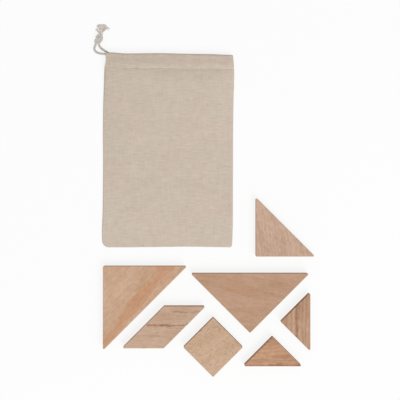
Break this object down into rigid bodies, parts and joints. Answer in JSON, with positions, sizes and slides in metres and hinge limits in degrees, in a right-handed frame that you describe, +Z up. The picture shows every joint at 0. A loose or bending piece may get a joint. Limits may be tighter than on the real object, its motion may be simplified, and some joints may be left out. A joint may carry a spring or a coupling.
{
  "type": "tangram puzzle",
  "caption": "Flat beech triangles, a square and a parallelogram that close into a larger square, laid out beside their cotton drawstring pouch.",
  "frame": {"origin": "centre of the layout's outline, the free cord left out, on the surface that everything lies on", "axes": "+Z up out of the surface; +Y along the pouch towards its mouth; +X to the right, from the pouch's cord side to its closed side"},
  "size_m": [0.1693, 0.2711, 0.007],
  "materials": {
    "beech_light": "satin",
    "beech_rosy": "satin",
    "beech_tan": "satin",
    "cotton_cloth": "matte",
    "cotton_cord": "matte"
  },
  "bodies": {
    "root": {"large_triangle_left": "beech_light", "large_triangle_right": "beech_tan", "medium_triangle": "beech_rosy", "small_triangle_upper": "beech_tan", "small_triangle_lower": "beech_tan", "square_piece": "beech_light", "parallelogram_piece": "beech_rosy", "pouch": "cotton_cloth", "drawcord": "cotton_cord", "cord_knot": "cotton_cord", "cord_tassel": "cotton_cord"}
  },
  "joints": []
}
